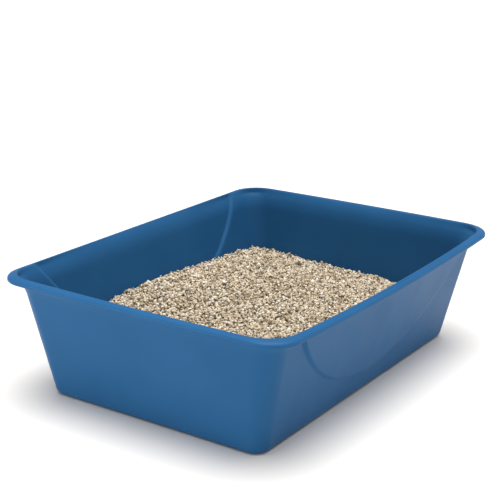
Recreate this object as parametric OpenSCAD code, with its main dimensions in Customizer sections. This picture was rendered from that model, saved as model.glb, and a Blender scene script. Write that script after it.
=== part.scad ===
// Open litter pan: one thin-walled moulding with a rolled rim, and the clay litter it holds.
// X runs across the pan, Y along it, Z up. The origin is the centre of the pan's footprint.

/* [Pan] */
// Width across the rim, at the corners
rim_w = 305; // [260:1:360]
// Length along the rim, at the corners
rim_l = 407; // [340:1:480]
// Height from the floor to the top of the rim
height = 117; // [100:1:150]
// Width of the foot of the walls
foot_w = 233; // [200:1:250]
// Length of the foot of the walls
foot_l = 349; // [300:1:370]
// Thickness of the moulding
wall = 2; // [1.5:0.1:2.5]
// Plan radius of the wall corners at the foot
foot_corner_r = 13; // [8:1:20]
// Plan radius of the wall corners under the rim
top_corner_r = 22; // [16:1:26]
// Radius that rounds the wall into the bottom
foot_round = 5; // [3:0.5:8]

/* [Rim] */
// How far the rim stands out from the wall
rim_over = 11; // [9:0.5:12.5]
// How far the wall flares outwards just under the rim
rim_flare = 3.5; // [3:0.1:4]
// Height of the rolled edge, from the crest to the lip
rim_drop = 6; // [5:0.1:8]
// Plan radius of the rim's outer corners
rim_corner_r = 28; // [22:1:32]
// Plan radius of the crest's corners
crest_corner_r = 30; // [22:1:34]
// How far the lip bows outwards halfway along each long side
lip_bow = 3.2; // [2:0.2:5]
// How far the crest bows outwards halfway along each long side
crest_bow = 5; // [2:0.2:6]
// How far the lip bows outwards halfway along each short side
lip_end_bow = 1.2; // [0:0.2:3]
// How far the crest bows outwards halfway along each short side
crest_end_bow = 2.6; // [0:0.2:3.4]
// How far the rim dips halfway along each long side
rim_dip = 2.2; // [0:0.2:3]

/* [Side panels] */
// Height of the lowest point of the curved panel edge
panel_low = 21; // [14:1:30]
// Half the panel's width where its edge meets the rim
panel_half_l = 157; // [120:1:165]
// Step of the panel at its lowest point
panel_low_step = 1.4; // [0:0.2:1.8]
// Step of the panel at its two ends
panel_step = 3.2; // [1:0.2:4]
// Extra swell halfway along the panel
panel_crown = 1.4; // [0:0.2:2]
// Width of the soft slope around the panel
panel_edge = 5; // [4:1:12]

/* [Bottom] */
// Width of the foot ring that the pan stands on
foot_ring = 16; // [10:1:30]
// How far the middle of the bottom is raised
bottom_raise = 1.5; // [0.5:0.1:3]

/* [Litter] */
// Depth of the litter in the middle
litter_depth = 51; // [35:1:58]
// Rise of the litter from the middle to the -X wall
litter_tilt = 7; // [0:1:9]
// Fall of the litter from the middle to each end
litter_fall = 5; // [0:1:10]
// Height of the mounds on the litter
litter_mound = 2.5; // [0:0.5:4]
// Gap between the litter and the pan
litter_gap = 1.3; // [1.2:0.1:1.8]

/* [Hidden] */

// Segments of each ring: along a long side, along a short side and round a corner.
LONG_N = 26;
SHORT_N = 6;
CORNER_N = 6;
// Levels on the outside and the inside of the walls, and on the litter's sides.
OUTER_LEVELS = 9;
INNER_LEVELS = 16;
LITTER_LEVELS = 10;
// Height of the flare under the rim.
FLARE_H = 14;

wall_top_w = rim_w - 2 * rim_over;
wall_top_l = rim_l - 2 * rim_over;
wall_top_z = height - 5.2;
floor_z = wall + bottom_raise;
panel_rise = wall_top_z - panel_low;
panel_r = (panel_half_l * panel_half_l + panel_rise * panel_rise) / (2 * panel_rise);

function mix(a, b, t) = a + (b - a) * t;
function clamp01(t) = min(1, max(0, t));
function smooth(t) = let (c = clamp01(t)) c * c * (3 - 2 * c);

// Stations round a ring: which way the corner centre lies, from -1 to 1 each way, and the
// direction that the wall faces there.
function side(n, from, to, angle) =
    [for (k = [1 : n - 1]) [mix(from[0], to[0], k / n), mix(from[1], to[1], k / n), angle]];
function corner(sx, sy, angle) =
    [for (k = [0 : CORNER_N]) [sx, sy, angle + 90 * k / CORNER_N]];
STATIONS = concat(
    side(LONG_N, [1, -1], [1, 1], 0), corner(1, 1, 0),
    side(SHORT_N, [1, 1], [-1, 1], 90), corner(-1, 1, 90),
    side(LONG_N, [-1, 1], [-1, -1], 180), corner(-1, -1, 180),
    side(SHORT_N, [-1, -1], [1, -1], 270), corner(1, -1, 270));
RING_N = len(STATIONS);

// Swell of the long walls inside the curved panel edge, which is a circular arc.
function panel_swell(y, z) =
    panel_swell_depth(y, z) * smooth((panel_r - norm([y, z - panel_low - panel_r])) / panel_edge);
function panel_swell_depth(y, z) =
    mix(panel_low_step, panel_step + panel_crown * (1 - pow(y / panel_half_l, 2)),
        clamp01((z - panel_low) / panel_rise));

// A ring of points: a rounded rectangle with bowed sides, swollen by the panels.
function ring(half_w, half_l, r, z, bow = 0, short_bow = 0, dip = 0, swell = 0) =
    [for (s = STATIONS) let (
        x = s[0] * (half_w - r) + r * cos(s[2]),
        y = s[1] * (half_l - r) + r * sin(s[2]),
        along = 1 - pow(y / half_l, 2),
        across = 1 - pow(x / half_w, 2))
        [x + cos(s[2]) * (bow * along + swell * panel_swell(y, z)),
         y + sin(s[2]) * short_bow * across,
         z - abs(cos(s[2])) * dip * along]];

// The wall face at a height, moved inwards by inset. It is flat from the foot up to the flare.
function wall_ring(z, inset) =
    let (t = clamp01(z / wall_top_z),
         inwards = inset - rim_flare * pow(clamp01(1 - (wall_top_z - z) / FLARE_H), 2))
    ring(mix(foot_w, wall_top_w, t) / 2 - inwards, mix(foot_l, wall_top_l, t) / 2 - inwards,
         mix(foot_corner_r, top_corner_r, t) - inset * 0.6, z, swell = 1);

// A ring of the rim: in is the distance inwards from the lip's outer face, down the depth
// below the crest. It follows the lip where out is 1, the crest where out is 0, and the wall
// where hold is 1.
function rim_ring(in, down, out, hold = 0) = let (loose = 1 - hold)
    ring(rim_w / 2 - in, rim_l / 2 - in,
         mix(mix(crest_corner_r, rim_corner_r - in * 0.5, out), top_corner_r, hold), height - down,
         bow = mix(crest_bow, lip_bow, out) * loose,
         short_bow = mix(crest_end_bow, lip_end_bow, out) * loose,
         dip = rim_dip * (1 + 0.4 * out) * loose, swell = hold);

// Rounds between the bottom and the wall, outside and inside.
function foot_rings() = [for (a = [0 : 30 : 90])
    wall_ring(foot_round * (1 - cos(a)), foot_round * (1 - sin(a)))];
function inner_foot_rings() = let (r = foot_round - 1) [for (a = [90 : -30 : 0])
    wall_ring(wall + r * (1 - cos(a)), wall + r * (1 - sin(a)))];

// The raised middle of the bottom, under it and inside it.
function flat_ring(inset, z) =
    ring(foot_w / 2 - foot_round - inset, foot_l / 2 - foot_round - inset, foot_corner_r, z);

// The rolled rim, from the wall's outer face over the lip and the crest to its inner face.
function rim_rings() = [
    rim_ring(rim_over - 4.1, 4.0, 0.3, hold = 0.8),
    rim_ring(rim_over - 5.6, 3.0, 0.6, hold = 0.3),
    rim_ring(3.6, 2.9, 1),
    rim_ring(1.9, 4.0, 1),
    rim_ring(1.7, rim_drop - 0.2, 1),
    rim_ring(0.9, rim_drop, 1),
    rim_ring(0, rim_drop - 0.7, 1),
    rim_ring(0, 3.7, 1),
    rim_ring(0.4, 2.6, 1),
    rim_ring(1.4, 1.6, 1),
    rim_ring(3.0, 0.85, 0.8),
    rim_ring(4.5, 0.35, 0.4),
    rim_ring(6.0, 0, 0),
    rim_ring(7.1, 0.25, 0, hold = 0.05),
    rim_ring(8.0, 1.2, 0, hold = 0.25),
    rim_ring(8.7, 3.0, 0, hold = 0.6)];

// Joins rings into a closed solid, with a fan of faces from the axis over the first and the last ring.
function axis_point(r) = [0, 0, [for (p = r) p[2]] * [for (p = r) 1 / RING_N]];
module loft(rings) {
    last = len(rings) - 1;
    low_centre = len(rings) * RING_N;
    bands = [for (j = [0 : last - 1]) for (i = [0 : RING_N - 1]) let (
        k = (i + 1) % RING_N,
        a = j * RING_N + i, b = j * RING_N + k,
        c = (j + 1) * RING_N + k, d = (j + 1) * RING_N + i)
        each [[a, c, b], [a, d, c]]];
    low_cap = [for (i = [0 : RING_N - 1]) [low_centre, i, (i + 1) % RING_N]];
    high_cap = [for (i = [0 : RING_N - 1])
        [low_centre + 1, last * RING_N + (i + 1) % RING_N, last * RING_N + i]];
    polyhedron(
        concat([for (r = rings) each r], [axis_point(rings[0]), axis_point(rings[last])]),
        concat(bands, low_cap, high_cap), convexity = 6);
}

module pan() {
    color("steelblue")
    loft(concat(
        [flat_ring(foot_ring + 4, bottom_raise), flat_ring(foot_ring, 0)],
        foot_rings(),
        [for (k = [1 : OUTER_LEVELS]) wall_ring(mix(foot_round, wall_top_z, k / OUTER_LEVELS), 0)],
        rim_rings(),
        [for (k = [INNER_LEVELS : -1 : 1])
            wall_ring(mix(wall + foot_round, wall_top_z, k / INNER_LEVELS), wall)],
        inner_foot_rings(),
        [flat_ring(foot_ring - 1, wall), flat_ring(foot_ring + 3, floor_z)]));
}

// Height of the litter's surface: tilted, lower towards the ends, with shallow mounds.
function litter_z(x, y) =
    litter_depth - litter_tilt * x / (foot_w / 2) - litter_fall * pow(2 * y / foot_l, 2)
    + litter_mound * (sin(2.1 * x + 40) * cos(1.9 * y) + 0.6 * sin(3.3 * y + 0.9 * x));

// A ring on the litter's sides, from a low level (t = 0) up to the edge of the surface (t = 1).
function litter_side(low, t) = let (inset = wall + litter_gap, mid = wall_ring(litter_depth, inset))
    [for (i = [0 : RING_N - 1]) let (
        z = mix(low, litter_z(mid[i][0], mid[i][1]), t),
        p = wall_ring(z, inset)[i]) [p[0], p[1], z]];
// A ring of the litter's surface, shrunk towards the middle.
function litter_surface(edge, t) =
    [for (p = edge) let (x = p[0] * t, y = p[1] * t) [x, y, t == 1 ? p[2] : litter_z(x, y)]];

module litter() {
    low = foot_round + 3;
    edge = litter_side(low, 1);
    color("tan")
    loft(concat(
        [flat_ring(2, floor_z + litter_gap)],
        [for (k = [0 : LITTER_LEVELS - 1]) litter_side(low, k / LITTER_LEVELS)],
        [for (t = [1, 0.88, 0.74, 0.58, 0.4, 0.22, 0.08]) litter_surface(edge, t)]));
}

pan();
litter();
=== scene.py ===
import math

import bmesh
import bpy
import numpy as np
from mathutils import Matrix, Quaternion, Vector


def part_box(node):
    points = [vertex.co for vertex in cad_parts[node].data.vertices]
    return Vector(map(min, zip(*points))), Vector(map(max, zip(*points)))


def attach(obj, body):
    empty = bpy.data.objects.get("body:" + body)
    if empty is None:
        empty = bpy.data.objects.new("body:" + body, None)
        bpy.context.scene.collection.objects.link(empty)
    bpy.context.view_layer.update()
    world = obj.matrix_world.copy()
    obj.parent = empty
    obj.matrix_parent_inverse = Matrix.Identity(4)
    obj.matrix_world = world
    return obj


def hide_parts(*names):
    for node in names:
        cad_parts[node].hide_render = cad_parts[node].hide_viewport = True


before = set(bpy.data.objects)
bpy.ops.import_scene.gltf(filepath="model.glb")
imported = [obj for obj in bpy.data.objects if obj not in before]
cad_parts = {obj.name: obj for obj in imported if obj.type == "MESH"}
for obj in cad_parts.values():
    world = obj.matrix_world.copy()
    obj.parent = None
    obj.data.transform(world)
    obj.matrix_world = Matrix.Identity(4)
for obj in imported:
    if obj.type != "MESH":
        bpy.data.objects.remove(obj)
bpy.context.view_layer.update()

# An open litter pan, moulded in blue plastic, with a bed of clay litter that lifts out.
# Everything is in metres, in the frame of the CAD model: X across the pan, Y along it, Z up.

PAN_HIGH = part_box("pan")[1]
LITTER_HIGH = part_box("litter")[1]
MM = 0.001
SEED = 20


# ---------------------------------------------------------------- sizes of the pan

# The wall and its foot: thickness, half width and length at the foot, plan radii of the
# corners, and the radius that rounds the wall into the bottom.
WALL = 2.0 * MM
FOOT_HALF_W = 116.5 * MM
FOOT_HALF_L = 174.5 * MM
FOOT_CORNER_R = 13 * MM
TOP_CORNER_R = 22 * MM
FOOT_ROUND = 5 * MM
# Part of an inset that comes off a corner's radius.
RADIUS_LOSS = 0.6

# The bottom: its middle is raised, with a short slope up from the flat foot ring.
BOTTOM_RAISE = 1.5 * MM
FOOT_RING = 16 * MM
RAISE_SLOPE = 4 * MM

# The rim: how far it stands out from the wall, how far the wall flares to meet it and over
# what height, the drop of its lip, and the plan radii of its lip and its crest.
RIM_OVER = 11 * MM
RIM_FLARE = 3.5 * MM
FLARE_HEIGHT = 14 * MM
RIM_DROP = 6 * MM
RIM_CORNER_R = 28 * MM
CREST_CORNER_R = 30 * MM
# How far the lip and the crest bow outwards halfway along the long sides and the short
# sides, and how far the rim dips halfway along the long sides.
LIP_BOW = 3.2 * MM
CREST_BOW = 5 * MM
LIP_END_BOW = 1.2 * MM
CREST_END_BOW = 2.6 * MM
RIM_DIP = 2.2 * MM

# The curved panel on each long wall: its lowest point, half its length under the rim, its
# step out at the lowest point and at its ends, its extra swell halfway along, and the width
# of the slope at its edge.
PANEL_LOW = 21 * MM
PANEL_HALF_L = 157 * MM
PANEL_LOW_STEP = 1.4 * MM
PANEL_STEP = 3.2 * MM
PANEL_CROWN = 1.4 * MM
PANEL_EDGE = 3.6 * MM

HEIGHT = PAN_HIGH.z
RIM_HALF_W = PAN_HIGH.x - LIP_BOW
RIM_HALF_L = PAN_HIGH.y - LIP_END_BOW
WALL_TOP_HALF_W = RIM_HALF_W - RIM_OVER
WALL_TOP_HALF_L = RIM_HALF_L - RIM_OVER
# Where the wall ends and the rim starts.
WALL_TOP = HEIGHT - 5.2 * MM
PANEL_RISE = WALL_TOP - PANEL_LOW
PANEL_R = (PANEL_HALF_L**2 + PANEL_RISE**2) / (2 * PANEL_RISE)

# Columns of the pan's mesh: along a long side, along a short side and round a corner.
LONG_N, SHORT_N, CORNER_N = 170, 44, 14
# Rows of the pan's mesh up a wall: below the curved panel edge, across it and above it.
OUTER_ROWS = (24, 9, 18)
INNER_ROWS = (18, 9, 14)
# Rows from one of the rim's outline points to the next, round the foot and up the slope to
# the raised middle.
RIM_STEPS = 3
ROUND_ROWS = 7
SLOPE_ROWS = 6


def mix(a, b, t):
    """The value that lies at t on the way from a (0) to b (1)."""
    return a + (b - a) * t


def smooth(t):
    """An S-shaped curve from 0 to 1, level at both ends."""
    t = np.clip(t, 0, 1)
    return t * t * (3 - 2 * t)


# ---------------------------------------------------------------- mesh helpers


def new_mesh_object(name, points, faces, material):
    """A mesh object from points and faces, each face a row of point numbers."""
    mesh = bpy.data.meshes.new(name)
    mesh.from_pydata(points.tolist(), [], [list(map(int, f)) for f in faces])
    mesh.materials.append(material)
    mesh.update()
    made = bpy.data.objects.new(name, mesh)
    bpy.context.scene.collection.objects.link(made)
    return made


def shade(made, is_smooth):
    """Smooth or flat shading for every face."""
    flags = np.full(len(made.data.polygons), is_smooth)
    made.data.polygons.foreach_set("use_smooth", flags)
    made.data.update()


def loft_faces(rings, columns):
    """Four-sided faces between neighbouring rings."""
    row = np.arange(columns)
    after = np.roll(row, -1)
    bands = []
    for j in range(rings - 1):
        low, high = j * columns, (j + 1) * columns
        bands.append(np.stack([row + low, after + low, after + high, row + high], 1))
    return np.concatenate(bands)


def loft(name, rings, material):
    """A closed solid from rings of the same number of points, with a fan over each end."""
    columns = len(rings[0])
    points = np.concatenate([*rings, [rings[0].mean(0)], [rings[-1].mean(0)]])
    quads = loft_faces(len(rings), columns)
    row = np.arange(columns)
    after = np.roll(row, -1)
    last = (len(rings) - 1) * columns
    low_centre = np.full(columns, len(points) - 2)
    high_centre = np.full(columns, len(points) - 1)
    low_fan = np.stack([after, row, low_centre], 1)
    high_fan = np.stack([row + last, after + last, high_centre], 1)
    faces = [*quads, *low_fan, *high_fan]
    return new_mesh_object(name, points, faces, material)


# ---------------------------------------------------------------- rings round the pan


def stations():
    """Round a ring: which way the corner centre lies, from -1 to 1 each way, and the wall's direction."""
    rows = []
    sides = [
        ((1, -1), (1, 1), 0, LONG_N),
        ((1, 1), (-1, 1), 90, SHORT_N),
        ((-1, 1), (-1, -1), 180, LONG_N),
        ((-1, -1), (1, -1), 270, SHORT_N),
    ]
    for start, end, angle, count in sides:
        for k in range(1, count):
            rows.append((mix(start[0], end[0], k / count), mix(start[1], end[1], k / count), angle))
        for k in range(CORNER_N + 1):
            rows.append((end[0], end[1], angle + 90 * k / CORNER_N))
    table = np.array(rows, float)
    return table[:, 0], table[:, 1], np.radians(table[:, 2])


ACROSS, ALONG, FACING = stations()
COS, SIN = np.cos(FACING), np.sin(FACING)
COLUMNS = len(FACING)


def panel_swell(y, z):
    """How far a long wall stands out inside the curved panel edge, which is a circular arc."""
    inside = PANEL_R - np.hypot(y, z - PANEL_LOW - PANEL_R)
    top_step = PANEL_STEP + PANEL_CROWN * (1 - (y / PANEL_HALF_L) ** 2)
    depth = mix(PANEL_LOW_STEP, top_step, np.clip((z - PANEL_LOW) / PANEL_RISE, 0, 1))
    return depth * smooth(inside / PANEL_EDGE)


def ring(half_w, half_l, r, z, bow=0.0, short_bow=0.0, dip=0.0, swell=0.0):
    """A rounded rectangle with bowed sides, swollen by the side panels."""
    x = ACROSS * (half_w - r) + r * COS
    y = ALONG * (half_l - r) + r * SIN
    along = 1 - (y / half_l) ** 2
    across = 1 - (x / half_w) ** 2
    return np.stack(
        [
            x + COS * (bow * along + swell * panel_swell(y, z)),
            y + SIN * short_bow * across,
            z - np.abs(COS) * dip * along,
        ],
        1,
    )


def wall_ring(z, inset):
    """The wall's face at a height, moved inwards by inset. z may be one height for each column."""
    t = np.clip(z / WALL_TOP, 0, 1)
    inwards = inset - RIM_FLARE * np.clip(1 - (WALL_TOP - z) / FLARE_HEIGHT, 0, 1) ** 2
    return ring(
        mix(FOOT_HALF_W, WALL_TOP_HALF_W, t) - inwards,
        mix(FOOT_HALF_L, WALL_TOP_HALF_L, t) - inwards,
        mix(FOOT_CORNER_R, TOP_CORNER_R, t) - inset * RADIUS_LOSS,
        z,
        swell=1,
    )


def panel_edge_level(share):
    """Height of the curved panel edge in each column: its outer side (share 0) or its inner side (1).

    It stays just below the rim beyond the panel's ends. A column's place along the wall
    changes a little with its height, so the height is worked out in a few rounds.
    """
    highest = WALL_TOP - mix(4 * MM, 1.5 * MM, share)
    radius = PANEL_R - PANEL_EDGE * share
    z = np.full(COLUMNS, PANEL_LOW)
    rounds = 6
    for _ in range(rounds):
        y = wall_ring(z, 0)[:, 1]
        depth = np.sqrt(np.maximum(radius**2 - y**2, 0))
        z = np.clip(PANEL_LOW + PANEL_R - depth, 0, highest)
    return z


def wall_rows(low, rows, inset):
    """Rings up a wall's face, from a low level to its top, closest together across the panel edge."""
    below, across, above = rows
    levels = [mix(low, panel_edge_level(0), t) for t in np.linspace(0, 1, below + 1)[1:]]
    levels += [panel_edge_level(t) for t in np.linspace(0, 1, across + 1)[1:]]
    levels += [mix(panel_edge_level(1), WALL_TOP, t) for t in np.linspace(0, 1, above + 1)[1:]]
    return [wall_ring(z, inset) for z in levels]


def rim_ring(inwards, down, out, hold):
    """The rim, at a distance inwards from the lip and down from the crest.

    It follows the lip where out is 1, the crest where out is 0, and the wall where hold is 1.
    The corners and the panels meet the wall early, by the powers of hold, so that the rim
    doesn't overhang the wall inside.
    """
    hold = max(0, hold)
    radius = mix(CREST_CORNER_R, RIM_CORNER_R - inwards * 0.5, out)
    return ring(
        RIM_HALF_W - inwards,
        RIM_HALF_L - inwards,
        mix(radius, TOP_CORNER_R, hold**0.3),
        HEIGHT - down,
        bow=mix(CREST_BOW, LIP_BOW, out) * (1 - hold),
        short_bow=mix(CREST_END_BOW, LIP_END_BOW, out) * (1 - hold),
        dip=RIM_DIP * (1 + 0.4 * out) * (1 - hold),
        swell=hold**0.7,
    )


def flat_ring(inset, z):
    """A ring on the bottom, inset from the foot of the walls."""
    half_w = FOOT_HALF_W - FOOT_ROUND - inset
    half_l = FOOT_HALF_L - FOOT_ROUND - inset
    return ring(half_w, half_l, FOOT_CORNER_R, z)


def curve_through(points, steps):
    """A smooth curve through points, with new points between them (Catmull-Rom)."""
    points = np.array(points, float)
    padded = np.vstack([2 * points[0] - points[1], points, 2 * points[-1] - points[-2]])
    made = []
    for i in range(len(points) - 1):
        a, b, c, d = padded[i : i + 4]
        square = 2 * a - 5 * b + 4 * c - d
        cube = 3 * b - a - 3 * c + d
        for t in np.arange(steps) / steps:
            made.append((2 * b + (c - a) * t + square * t**2 + cube * t**3) / 2)
    made.append(points[-1])
    return np.array(made)


# The rim's outline in mm, from the wall's outer face over the lip and the crest to the inner
# face: inwards from the lip, down from the crest, out (1 follows the lip, 0 the crest), hold
# (1 follows the wall).
RIM_OUTLINE = [
    (RIM_OVER / MM - 4.1, 4.0, 0.3, 0.8),
    (RIM_OVER / MM - 5.6, 3.0, 0.6, 0.3),
    (3.6, 2.9, 1, 0),
    (1.9, 4.0, 1, 0),
    (1.7, RIM_DROP / MM - 0.2, 1, 0),
    (0.9, RIM_DROP / MM, 1, 0),
    (0, RIM_DROP / MM - 0.7, 1, 0),
    (0, 3.7, 1, 0),
    (0.4, 2.6, 1, 0),
    (1.4, 1.6, 1, 0),
    (3.0, 0.85, 0.8, 0),
    (4.5, 0.35, 0.4, 0),
    (6.0, 0, 0, 0),
    (7.1, 0.25, 0, 0.05),
    (8.0, 1.2, 0, 0.25),
    (8.7, 3.0, 0, 0.6),
]


def pan_rings():
    """The whole moulding as one run of rings, from the middle underneath to the middle inside."""
    recess = FOOT_RING + RAISE_SLOPE
    rings = [flat_ring(recess + 1.5 * MM, BOTTOM_RAISE)]
    for t in np.linspace(0, 1, SLOPE_ROWS):
        rings.append(flat_ring(mix(recess, FOOT_RING, t), BOTTOM_RAISE * (1 - smooth(t))))
    rings.append(flat_ring(FOOT_RING - 1 * MM, 0))
    for t in np.linspace(0, 1, ROUND_ROWS):
        a = math.pi / 2 * t
        rings.append(wall_ring(FOOT_ROUND * (1 - math.cos(a)), FOOT_ROUND * (1 - math.sin(a))))
    rings += wall_rows(FOOT_ROUND, OUTER_ROWS, 0)
    for inwards, down, out, hold in curve_through(RIM_OUTLINE, RIM_STEPS):
        rings.append(rim_ring(max(0, inwards) * MM, max(0, down) * MM, out, hold))
    rings += wall_rows(WALL + FOOT_ROUND, INNER_ROWS, WALL)[::-1]
    inner_round = FOOT_ROUND - 1 * MM
    for t in np.linspace(1, 0, ROUND_ROWS):
        a = math.pi / 2 * t
        height = WALL + inner_round * (1 - math.cos(a))
        rings.append(wall_ring(height, WALL + inner_round * (1 - math.sin(a))))
    for t in np.linspace(0, 1, SLOPE_ROWS):
        inset = mix(FOOT_RING - 1 * MM, FOOT_RING + 3 * MM, t)
        rings.append(flat_ring(inset, WALL + BOTTOM_RAISE * smooth(t)))
    return rings


# ---------------------------------------------------------------- materials


def new_material(name):
    """A material with one Principled shader. Returns it with its nodes, links and shader."""
    material = bpy.data.materials.new(name)
    material.use_nodes = True
    tree = material.node_tree
    return material, tree.nodes, tree.links, tree.nodes["Principled BSDF"]


def add_noise(nodes, links, scale, detail=3.0, roughness=0.5, stretch=None):
    """A noise texture in the piece's own coordinates. stretch scales the coordinates each way."""
    coordinates = nodes.new("ShaderNodeTexCoord")
    noise = nodes.new("ShaderNodeTexNoise")
    noise.inputs["Scale"].default_value = scale
    noise.inputs["Detail"].default_value = detail
    noise.inputs["Roughness"].default_value = roughness
    source = coordinates.outputs["Object"]
    if stretch:
        mapping = nodes.new("ShaderNodeMapping")
        mapping.inputs["Scale"].default_value = stretch
        links.new(source, mapping.inputs["Vector"])
        source = mapping.outputs["Vector"]
    links.new(source, noise.inputs["Vector"])
    return noise.outputs["Fac"]


def add_ramp(nodes, links, factor, stops):
    """A colour ramp. stops are (position, colour) pairs."""
    ramp = nodes.new("ShaderNodeValToRGB")
    elements = ramp.color_ramp.elements
    while len(elements) < len(stops):
        elements.new(0.5)
    for element, (position, colour) in zip(elements, stops):
        element.position = position
        element.color = (*colour, 1)
    links.new(factor, ramp.inputs["Fac"])
    return ramp.outputs["Color"]


def add_range(nodes, links, factor, low, high, start=0.0, end=1.0):
    """Maps a factor from start..end onto low..high."""
    span = nodes.new("ShaderNodeMapRange")
    span.inputs["From Min"].default_value = start
    span.inputs["From Max"].default_value = end
    span.inputs["To Min"].default_value = low
    span.inputs["To Max"].default_value = high
    links.new(factor, span.inputs["Value"])
    return span.outputs["Result"]


def add_bump(nodes, links, height, strength, distance, below=None):
    """A bump of a height map, on top of another bump."""
    bump = nodes.new("ShaderNodeBump")
    bump.inputs["Strength"].default_value = strength
    bump.inputs["Distance"].default_value = distance
    links.new(height, bump.inputs["Height"])
    if below is not None:
        links.new(below, bump.inputs["Normal"])
    return bump.outputs["Normal"]


def plastic():
    """Blue moulded plastic: satin gloss, with the fine orange peel and faint rub marks of a moulding."""
    material, nodes, links, shader = new_material("blue_moulded_plastic")
    cloud = add_noise(nodes, links, 14, detail=2)
    blues = [(0.3, (0.0165, 0.090, 0.216)), (0.7, (0.0195, 0.100, 0.236))]
    colour = add_ramp(nodes, links, cloud, blues)
    links.new(colour, shader.inputs["Base Color"])
    rub = add_noise(nodes, links, 60, detail=5, roughness=0.65, stretch=(1, 1, 0.35))
    gloss = add_range(nodes, links, rub, 0.30, 0.38, 0.3, 0.7)
    links.new(gloss, shader.inputs["Roughness"])
    shader.inputs["IOR"].default_value = 1.5
    shader.inputs["Specular IOR Level"].default_value = 0.07
    peel = add_noise(nodes, links, 900, detail=1)
    wave = add_noise(nodes, links, 25, detail=1)
    normal = add_bump(nodes, links, peel, 0.15, 0.05 * MM)
    normal = add_bump(nodes, links, wave, 0.25, 0.5 * MM, below=normal)
    links.new(normal, shader.inputs["Normal"])
    return material


# Colours of dry clay, from a dark speck (0) to a pale grain (1).
CLAY_TONES = [
    (0.00, (0.150, 0.110, 0.068)),
    (0.14, (0.350, 0.270, 0.180)),
    (0.40, (0.600, 0.490, 0.345)),
    (0.65, (0.740, 0.635, 0.480)),
    (0.85, (0.830, 0.750, 0.610)),
    (1.00, (0.880, 0.830, 0.740)),
]


def clay_granules():
    """Dry clay granules: each has its own tone, from grey-brown to cream, with a dusty face."""
    material, nodes, links, shader = new_material("clay_granules")
    tone = nodes.new("ShaderNodeAttribute")
    tone.attribute_name = "tone"
    colour = add_ramp(nodes, links, tone.outputs["Fac"], CLAY_TONES)
    dust = add_noise(nodes, links, 1500, detail=3)
    speckle = add_ramp(nodes, links, dust, [(0.3, (0.66, 0.64, 0.62)), (0.65, (1.0, 1.0, 1.0))])
    blend = nodes.new("ShaderNodeMix")
    blend.data_type = "RGBA"
    blend.blend_type = "MULTIPLY"
    blend.inputs["Factor"].default_value = 1
    links.new(colour, blend.inputs["A"])
    links.new(speckle, blend.inputs["B"])
    links.new(blend.outputs["Result"], shader.inputs["Base Color"])
    shader.inputs["Roughness"].default_value = 0.92
    shader.inputs["Specular IOR Level"].default_value = 0.2
    normal = add_bump(nodes, links, dust, 0.6, 0.15 * MM)
    links.new(normal, shader.inputs["Normal"])
    return material


def clay_bed_painted_shade():
    """The packed clay between and under the granules, with a grain of the same size. Its tones are the
    granules' tones darkened to 0.22, which is painted shade for the gaps between the granules.
    """
    material, nodes, links, shader = new_material("clay_bed_painted_shade")
    coordinates = nodes.new("ShaderNodeTexCoord")
    cells = nodes.new("ShaderNodeTexVoronoi")
    cells.inputs["Scale"].default_value = 420
    links.new(coordinates.outputs["Object"], cells.inputs["Vector"])
    split = nodes.new("ShaderNodeSeparateColor")
    links.new(cells.outputs["Color"], split.inputs["Color"])
    # Painted shade: the clay tones darkened, for the shade in the gaps between and under the granules.
    shadow = 0.22
    painted_shade_tones = [(position, tuple(shadow * c for c in colour)) for position, colour in CLAY_TONES]
    colour = add_ramp(nodes, links, split.outputs["Red"], painted_shade_tones)
    links.new(colour, shader.inputs["Base Color"])
    shader.inputs["Roughness"].default_value = 0.95
    shader.inputs["Specular IOR Level"].default_value = 0.2
    rise = add_range(nodes, links, cells.outputs["Distance"], 1, 0, 0, 0.6)
    links.new(add_bump(nodes, links, rise, 0.9, 0.8 * MM), shader.inputs["Normal"])
    return material


def floor_paint():
    """A plain pale studio floor."""
    material, _, _, shader = new_material("pale_floor")
    shader.inputs["Base Color"].default_value = (0.80, 0.775, 0.745, 1)
    shader.inputs["Roughness"].default_value = 0.6
    return material


# ---------------------------------------------------------------- the pan

pan = loft("pan_moulding", pan_rings(), plastic())
shade(pan, True)
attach(pan, "pan")
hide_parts("pan")


# ---------------------------------------------------------------- the litter

# Gap between the litter and the pan, and the lowest level of the litter.
LITTER_GAP = 0.5 * MM
LITTER_FLOOR = WALL + BOTTOM_RAISE + LITTER_GAP
# The litter's surface: its height in the middle, its rise to the -X wall and its fall to
# each end.
LITTER_DEPTH = 50 * MM
LITTER_TILT = 7 * MM
LITTER_FALL = 5 * MM
# Mounds and hollows in the litter: place across and along, width, height.
MOUNDS = [
    (-105 * MM, -10 * MM, 55 * MM, 6.0 * MM),
    (-110 * MM, -75 * MM, 32 * MM, 2.5 * MM),
    (-70 * MM, 95 * MM, 55 * MM, 2.5 * MM),
    (60 * MM, 150 * MM, 75 * MM, 3.5 * MM),
    (10 * MM, -20 * MM, 60 * MM, -2.0 * MM),
    (80 * MM, 20 * MM, 60 * MM, 2.5 * MM),
    (60 * MM, -110 * MM, 60 * MM, 2.0 * MM),
    (-30 * MM, -130 * MM, 50 * MM, -1.5 * MM),
]
RIPPLE = 0.96 * MM
# How far the bed lies inside the granules on its sides and bottom, and under those on top.
BED_INSET = 0.6 * MM
BED_SINK = 1.2 * MM
# Rows of the bed's mesh: up its sides, between two levels below the lowest part of its edge,
# and from its edge to the middle of its surface.
SIDE_LEVELS = (8 * MM, 34 * MM)
SIDE_ROWS = 16
SURFACE_ROWS = 90


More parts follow.
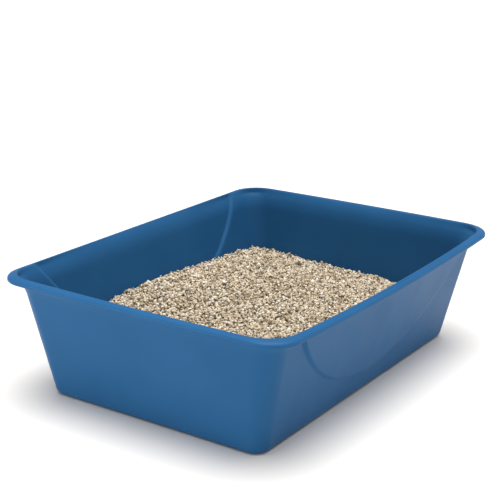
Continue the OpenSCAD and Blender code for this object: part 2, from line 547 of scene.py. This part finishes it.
def litter_height(x, y):
    """The litter's surface: heaped along one long side, lower towards the ends, with mounds."""
    x, y = np.asarray(x, float), np.asarray(y, float)
    z = LITTER_DEPTH - LITTER_TILT * x / FOOT_HALF_W - LITTER_FALL * (y / FOOT_HALF_L) ** 2
    for mound_x, mound_y, width, height in MOUNDS:
        z = z + height * np.exp(-((x - mound_x) ** 2 + (y - mound_y) ** 2) / width**2)
    # Uneven ripples, 20 to 40 mm apart.
    ripple = np.sin(170 * x + 60 * y + 1) * np.cos(140 * y - 50 * x) + 0.6 * np.sin(260 * y + 190 * x)
    return z + RIPPLE * ripple


def litter_rings():
    """The bed as one run of rings: the bottom, the sides, and the surface from its edge inwards."""
    inset = WALL + LITTER_GAP + BED_INSET
    rings = [flat_ring(t, LITTER_FLOOR + BED_INSET) for t in (60 * MM, 30 * MM, 2 * MM)]
    for z in np.linspace(*SIDE_LEVELS, SIDE_ROWS):
        rings.append(wall_ring(z, inset))
    level = wall_ring(LITTER_DEPTH, inset)
    edge = wall_ring(litter_height(level[:, 0], level[:, 1]) - BED_SINK, inset)
    rings.append(edge)
    for t in np.linspace(1, 0, SURFACE_ROWS)[1:-1]:
        inner = edge * (t, t, 1)
        inner[:, 2] = litter_height(inner[:, 0], inner[:, 1]) - BED_SINK
        rings.append(inner)
    return rings


def outline_gap(x, y, z, inset):
    """How far a point is outside the wall's face at its height, moved inwards by inset.

    It is negative inside. The panels and the flare are left out, so it is on the safe side.
    """
    t = z / WALL_TOP
    r = mix(FOOT_CORNER_R, TOP_CORNER_R, t) - inset * RADIUS_LOSS
    from_x = np.abs(x) - (mix(FOOT_HALF_W, WALL_TOP_HALF_W, t) - inset - r)
    from_y = np.abs(y) - (mix(FOOT_HALF_L, WALL_TOP_HALF_L, t) - inset - r)
    outside = np.hypot(np.maximum(from_x, 0), np.maximum(from_y, 0))
    return outside + np.minimum(np.maximum(from_x, from_y), 0) - r


# Every random number in the script comes from here.
DRAWS = np.random.default_rng(SEED)
# Distance between the rows of a triangular grid, and how far a granule strays from its
# place in it, both in pitches.
ROW_STEP = 0.866
JITTER = 0.45


def chip_shapes(count, corners):
    """Angular chips about 1 in radius, each the hull of a few points near a ball.

    The points lie on a spiral that spreads them evenly, and are then disturbed at random.
    """
    shapes = []
    for _ in range(count):
        k = np.arange(corners) + 0.5
        polar = np.arccos(1 - 2 * k / corners)
        turn = math.pi * (1 + math.sqrt(5)) * k
        points = np.stack([np.cos(turn) * np.sin(polar), np.sin(turn) * np.sin(polar), np.cos(polar)], 1)
        points += DRAWS.normal(0, 0.22, points.shape)
        points /= np.linalg.norm(points, axis=1)[:, None]
        points *= DRAWS.uniform(0.78, 1.12, (corners, 1))
        solid = bmesh.new()
        for p in points:
            solid.verts.new(p)
        bmesh.ops.convex_hull(solid, input=solid.verts)
        loose = [v for v in solid.verts if not v.link_faces]
        bmesh.ops.delete(solid, geom=loose, context="VERTS")
        bmesh.ops.triangulate(solid, faces=solid.faces)
        bmesh.ops.recalc_face_normals(solid, faces=solid.faces)
        solid.verts.index_update()
        chip_corners = np.array([v.co for v in solid.verts])
        chip_faces = np.array([[v.index for v in f.verts] for f in solid.faces])
        solid.free()
        shapes.append((chip_corners, chip_faces))
    return shapes


def random_turns(count):
    """Random rotations, as matrices made from quaternions."""
    q = DRAWS.normal(size=(count, 4))
    q /= np.linalg.norm(q, axis=1)[:, None]
    w, x, y, z = q.T
    return np.stack(
        [
            np.stack([1 - 2 * (y * y + z * z), 2 * (x * y - z * w), 2 * (x * z + y * w)], 1),
            np.stack([2 * (x * y + z * w), 1 - 2 * (x * x + z * z), 2 * (y * z - x * w)], 1),
            np.stack([2 * (x * z - y * w), 2 * (y * z + x * w), 1 - 2 * (x * x + y * y)], 1),
        ],
        1,
    )


def granules(name, shapes, centres, sizes):
    """One piece made of many chips, each turned at random and squeezed a little, with its own tone.

    A tone is from 0, dark, to 1, pale, with most in between.
    """
    count = len(centres)
    tones = np.clip(DRAWS.normal(0.56, 0.24, count), 0, 1)
    turns = random_turns(count)
    squeeze = DRAWS.uniform(0.62, 1.1, (count, 3)) * sizes[:, None]
    picks = DRAWS.integers(len(shapes), size=count)
    points, faces, point_tones, offset = [], [], [], 0
    for s, (corners, triangles) in enumerate(shapes):
        chosen = np.flatnonzero(picks == s)
        scaled = corners[None] * squeeze[chosen][:, None, :]
        placed = np.einsum("nij,nvj->nvi", turns[chosen], scaled) + centres[chosen][:, None, :]
        points.append(placed.reshape(-1, 3))
        starts = offset + np.arange(len(chosen)) * len(corners)
        faces.append((triangles[None] + starts[:, None, None]).reshape(-1, 3))
        point_tones.append(np.repeat(tones[chosen], len(corners)))
        offset += len(chosen) * len(corners)
    points, faces, point_tones = map(np.concatenate, (points, faces, point_tones))
    mesh = bpy.data.meshes.new(name)
    mesh.vertices.add(len(points))
    mesh.vertices.foreach_set("co", points.ravel())
    mesh.loops.add(faces.size)
    mesh.loops.foreach_set("vertex_index", faces.ravel())
    mesh.polygons.add(len(faces))
    mesh.polygons.foreach_set("loop_start", np.arange(len(faces)) * 3)
    mesh.update(calc_edges=True)
    layer = mesh.attributes.new("tone", "FLOAT", "POINT")
    layer.data.foreach_set("value", point_tones)
    mesh.materials.append(GRANULE_CLAY)
    made = bpy.data.objects.new(name, mesh)
    bpy.context.scene.collection.objects.link(made)
    shade(made, False)
    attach(made, "litter")


def granule_sizes(size_low, size_high, count):
    """Random sizes between two limits, with more small granules than large ones."""
    return mix(size_low, size_high, DRAWS.beta(1.6, 2.6, count))


def jittered_grid(half_w, half_l, pitch):
    """Points on a triangular grid over a rectangle, each moved a little at random."""
    rows = np.arange(-half_l, half_l, pitch * ROW_STEP)
    columns = np.arange(-half_w, half_w, pitch)
    x, y = np.meshgrid(columns, rows)
    x = x + (np.arange(len(rows)) % 2)[:, None] * pitch / 2
    x = x + DRAWS.uniform(-JITTER, JITTER, x.shape) * pitch
    y = y + DRAWS.uniform(-JITTER, JITTER, y.shape) * pitch
    return x.ravel(), y.ravel()


def surface_granules(pitch, size_low, size_high, lift):
    """Centres and sizes of granules on the litter's surface, clear of the walls.

    lift is the height of their centres over the surface, in granule sizes, give or take
    about 0.4. Granules nearer to the wall than 0.95 of their size are left out.
    """
    x, y = jittered_grid(WALL_TOP_HALF_W, WALL_TOP_HALF_L, pitch)
    sizes = granule_sizes(size_low, size_high, len(x))
    z = litter_height(x, y) + sizes * DRAWS.uniform(lift - 0.45, lift + 0.35, len(x))
    inside = outline_gap(x, y, z, WALL + LITTER_GAP) < -sizes * 0.95
    return np.stack([x, y, z], 1)[inside], sizes[inside]


def side_granules(pitch, size_low, size_high):
    """Centres and sizes of granules on the sides of the bed."""
    rows = np.arange(LITTER_FLOOR + 1.5 * MM, LITTER_HIGH.z, pitch * ROW_STEP)
    found, found_sizes = [], []
    for z in rows:
        outline = wall_ring(z, WALL + LITTER_GAP + size_high)
        steps = np.linalg.norm(np.roll(outline, -1, 0) - outline, axis=1)
        run = np.concatenate([[0], np.cumsum(steps)])
        count = int(run[-1] / pitch)
        marks = (np.arange(count) + DRAWS.uniform(-JITTER, JITTER, count)) * pitch % run[-1]
        closed = np.vstack([outline, outline[:1]])
        spots = np.stack([np.interp(marks, run, closed[:, axis]) for axis in range(3)], 1)
        spots[:, 2] += DRAWS.uniform(-0.4, 0.4, count) * pitch
        keep = spots[:, 2] < litter_height(spots[:, 0], spots[:, 1])
        keep &= spots[:, 2] > LITTER_FLOOR + size_high
        found.append(spots[keep])
        found_sizes.append(granule_sizes(size_low, size_high, keep.sum()))
    return np.concatenate(found), np.concatenate(found_sizes)


def bottom_granules(pitch, size_low, size_high):
    """Centres and sizes of granules under the bed."""
    x, y = jittered_grid(FOOT_HALF_W, FOOT_HALF_L, pitch)
    sizes = granule_sizes(size_low, size_high, len(x))
    z = LITTER_FLOOR + sizes * 1.1
    inside = outline_gap(x, y, z, WALL + FOOT_ROUND) < -sizes
    return np.stack([x, y, z], 1)[inside], sizes[inside]


GRANULE_CLAY = clay_granules()
CHIPS = chip_shapes(28, 12)
CRUMBS = chip_shapes(12, 8)

bed = loft("litter_bed", litter_rings(), clay_bed_painted_shade())
shade(bed, True)
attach(bed, "litter")
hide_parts("litter")

# The main layer of granules, in two pieces of about the same size.
centres, sizes = surface_granules(3.2 * MM, 1.2 * MM, 2.6 * MM, -0.1)
half = len(centres) // 2
granules("litter_granules_1", CHIPS, centres[:half], sizes[:half])
granules("litter_granules_2", CHIPS, centres[half:], sizes[half:])

# Larger granules that lie on it, further apart, and the crumbs between them.
granules("litter_top_granules", CHIPS, *surface_granules(5.6 * MM, 1.4 * MM, 2.8 * MM, 0.4))
granules("litter_crumbs", CRUMBS, *surface_granules(4.4 * MM, 0.4 * MM, 0.9 * MM, 1.2))

# Small granules on the sides and the bottom, which show when the litter is lifted.
granules("litter_side_granules", CHIPS, *side_granules(3.0 * MM, 1.0 * MM, 1.6 * MM))
granules("litter_bottom_granules", CRUMBS, *bottom_granules(3.2 * MM, 0.9 * MM, 1.6 * MM))


# ---------------------------------------------------------------- floor, light and camera


def studio_floor():
    """A wide pale floor under the pan."""
    half = 6.0
    corners = np.array([(-half, -half, 0), (half, -half, 0), (half, half, 0), (-half, half, 0)])
    made = new_mesh_object("studio_floor", corners, [(0, 1, 2, 3)], floor_paint())


def overhead(name, direction, strength, spread):
    """A soft light from one direction, even over the whole floor. spread is its width in degrees."""
    lamp = bpy.data.lights.new(name, "SUN")
    lamp.energy = strength
    lamp.angle = math.radians(spread)
    made = bpy.data.objects.new(name, lamp)
    made.location = Vector(direction)
    made.rotation_euler = Vector(direction).to_track_quat("Z", "Y").to_euler()
    bpy.context.scene.collection.objects.link(made)


def softbox(name, place, target, width, height, power):
    """A soft lamp that faces the target."""
    lamp = bpy.data.lights.new(name, "AREA")
    lamp.shape = "RECTANGLE"
    lamp.size, lamp.size_y = width, height
    lamp.energy = power
    made = bpy.data.objects.new(name, lamp)
    made.location = place
    made.rotation_euler = (Vector(target) - Vector(place)).to_track_quat("-Z", "Y").to_euler()
    bpy.context.scene.collection.objects.link(made)


def surround(strength):
    """Even soft light from all round, which the camera sees as plain white beyond the floor."""
    world = bpy.data.worlds.new("studio")
    world.use_nodes = True
    nodes, links = world.node_tree.nodes, world.node_tree.links
    background = nodes["Background"]
    background.inputs["Color"].default_value = (1, 1, 1, 1)
    path = nodes.new("ShaderNodeLightPath")
    level = add_range(nodes, links, path.outputs["Is Camera Ray"], strength, 1)
    links.new(level, background.inputs["Strength"])
    bpy.context.scene.world = world


def camera(azimuth, elevation, roll, distance, target, lens, shift_y):
    """The camera, at an azimuth from -Y and an elevation, turned by a small roll, all in degrees."""
    a, e = math.radians(azimuth), math.radians(elevation)
    back = Vector((math.sin(a) * math.cos(e), -math.cos(a) * math.cos(e), math.sin(e)))
    lens_data = bpy.data.cameras.new("camera")
    lens_data.lens = lens
    lens_data.sensor_width = 36
    lens_data.shift_y = shift_y
    made = bpy.data.objects.new("camera", lens_data)
    made.location = Vector(target) + back * distance
    made.rotation_mode = "QUATERNION"
    level = (-back).to_track_quat("-Z", "Y")
    made.rotation_quaternion = level @ Quaternion((0, 0, 1), math.radians(roll))
    bpy.context.scene.collection.objects.link(made)
    bpy.context.scene.camera = made


studio_floor()
surround(0.38)
overhead("overhead_light", (0.02, 0.06, 1), strength=4.5, spread=54)
# Low strips that light the two near walls, which lean outwards and get little from above.
softbox("front_strip", (-0.60, -1.30, 0.07), (0, -0.17, 0.06), width=1.2, height=0.1, power=8.6)
softbox("side_strip", (1.30, 0.10, 0.07), (0.13, 0, 0.06), width=1.2, height=0.1, power=2.8)
# The photo's viewing angle, solved from the pan's outline.
camera(
    azimuth=33.96,
    elevation=19.16,
    roll=0.45,
    distance=1.4093,
    target=(-0.1329, 0.1790, 0),
    lens=86.82,
    shift_y=0.0749,
)

# This keeps the floor white and the blue as strong as in the photo.
bpy.context.scene.view_settings.view_transform = "Standard"
